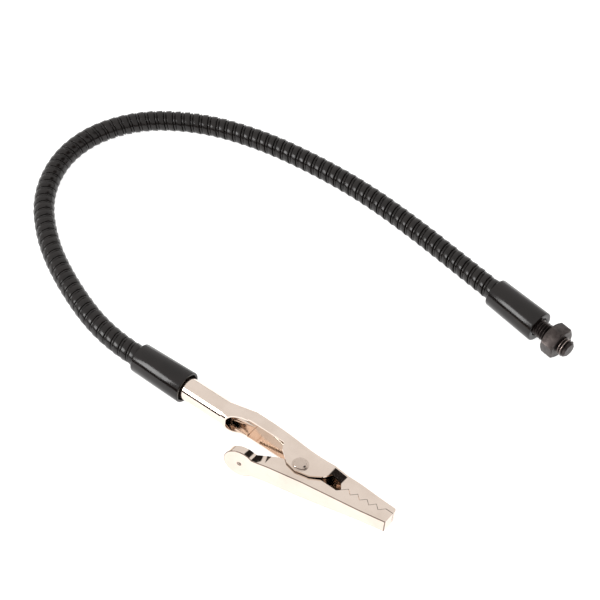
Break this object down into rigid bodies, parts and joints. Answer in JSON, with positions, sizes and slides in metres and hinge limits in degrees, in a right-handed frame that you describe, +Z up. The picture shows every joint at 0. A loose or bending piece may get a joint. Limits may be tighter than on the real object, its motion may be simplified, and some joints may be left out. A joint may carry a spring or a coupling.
{
  "type": "gooseneck clip arm",
  "caption": "flexible stay-put gooseneck arm with a threaded mounting stud and nut at one end and a sprung crocodile clip at the other, bent into a hook",
  "frame": {"origin": "middle of the arm's footprint, on the table it lies on", "axes": "+Z up from the table; the hook's ends point to -Y, the stud end on the +X side and the clip end on the -X side"},
  "size_m": [0.1464, 0.1406, 0.0099],
  "materials": {
    "black_neck": "satin",
    "black_collar": "satin",
    "black_oxide": "satin",
    "nickel_sheet": "polished",
    "nickel_rivet": "polished",
    "spring_steel": "satin"
  },
  "bodies": {
    "stud_end": {"stud_end_ferrule": "black_collar", "threaded_stud": "black_oxide", "neck_end_stud": "black_neck"},
    "nut": {"hex_nut": "black_oxide"},
    "link_01": {"neck_link_01": "black_neck"},
    "link_02": {"neck_link_02": "black_neck"},
    "link_03": {"neck_link_03": "black_neck"},
    "link_04": {"neck_link_04": "black_neck"},
    "link_05": {"neck_link_05": "black_neck"},
    "link_06": {"neck_link_06": "black_neck"},
    "link_07": {"neck_link_07": "black_neck"},
    "link_08": {"neck_link_08": "black_neck"},
    "link_09": {"neck_link_09": "black_neck"},
    "link_10": {"neck_link_10": "black_neck"},
    "link_11": {"neck_link_11": "black_neck"},
    "link_12": {"neck_link_12": "black_neck"},
    "clip_end": {"neck_end_clip": "black_neck", "clip_end_ferrule": "black_collar", "upper_jaw": "nickel_sheet", "pivot_rivet": "nickel_rivet", "jaw_spring": "spring_steel"},
    "lower_jaw": {"lower_jaw": "nickel_sheet"}
  },
  "joints": [
    {"name": "nut_travel", "type": "slide", "parent": "stud_end", "child": "nut", "axis": [0.6709, -0.7415, 0], "range_m": [-0.0035, 0.0026]},
    {"name": "neck_lift_00", "type": "hinge", "parent": "stud_end", "child": "link_01", "pos_m": [0.05208, 0.00465, 0.00434], "axis": [0.7415, 0.6709, 0], "range_deg": [-24, 24]},
    {"name": "neck_bend_01", "type": "hinge", "parent": "link_01", "child": "link_02", "pos_m": [0.0395, 0.01856, 0.00434], "axis": [0, 0, -1], "range_deg": [-20, 24]},
    {"name": "neck_lift_02", "type": "hinge", "parent": "link_02", "child": "link_03", "pos_m": [0.02655, 0.03213, 0.00434], "axis": [0.7054, 0.7088, 0], "range_deg": [-24, 24]},
    {"name": "neck_bend_03", "type": "hinge", "parent": "link_03", "child": "link_04", "pos_m": [0.01248, 0.04452, 0.00434], "axis": [0, 0, -1], "range_deg": [-20, 24]},
    {"name": "neck_lift_04", "type": "hinge", "parent": "link_04", "child": "link_05", "pos_m": [-0.00291, 0.05524, 0.00434], "axis": [0.5278, 0.8493, 0], "range_deg": [-24, 24]},
    {"name": "neck_bend_05", "type": "hinge", "parent": "link_05", "child": "link_06", "pos_m": [-0.01969, 0.06356, 0.00434], "axis": [0, 0, 1], "range_deg": [-15, 12]},
    {"name": "neck_bend_06", "type": "hinge", "parent": "link_06", "child": "link_07", "pos_m": [-0.038, 0.06723, 0.00434], "axis": [0, 0, 1], "range_deg": [-26, 12]},
    {"name": "neck_bend_07", "type": "hinge", "parent": "link_07", "child": "link_08", "pos_m": [-0.05596, 0.06271, 0.00434], "axis": [0, 0, 1], "range_deg": [-36, 2]},
    {"name": "neck_bend_08", "type": "hinge", "parent": "link_08", "child": "link_09", "pos_m": [-0.06787, 0.04869, 0.00434], "axis": [0, 0, 1], "range_deg": [-35, 4]},
    {"name": "neck_bend_09", "type": "hinge", "parent": "link_09", "child": "link_10", "pos_m": [-0.06977, 0.03024, 0.00434], "axis": [0, 0, 1], "range_deg": [-23, 12]},
    {"name": "neck_lift_10", "type": "hinge", "parent": "link_10", "child": "link_11", "pos_m": [-0.06426, 0.01237, 0.00434], "axis": [-0.9053, -0.4248, 0], "range_deg": [-24, 24]},
    {"name": "neck_bend_11", "type": "hinge", "parent": "link_11", "child": "link_12", "pos_m": [-0.05499, -0.00392, 0.00434], "axis": [0, 0, 1], "range_deg": [-14, 12]},
    {"name": "neck_lift_12", "type": "hinge", "parent": "link_12", "child": "clip_end", "pos_m": [-0.04215, -0.01749, 0.00434], "axis": [-0.6068, -0.7948, 0], "range_deg": [-24, 24]},
    {"name": "jaw_open", "type": "hinge", "parent": "clip_end", "child": "lower_jaw", "pos_m": [0.00134, -0.05507, 0.00477], "axis": [-0.074, -0.0969, -0.9925], "range_deg": [0, 26], "stiffness_Nm_per_rad": 0.15, "springref_deg": -45.84, "deforming": ["jaw_spring"]}
  ]
}
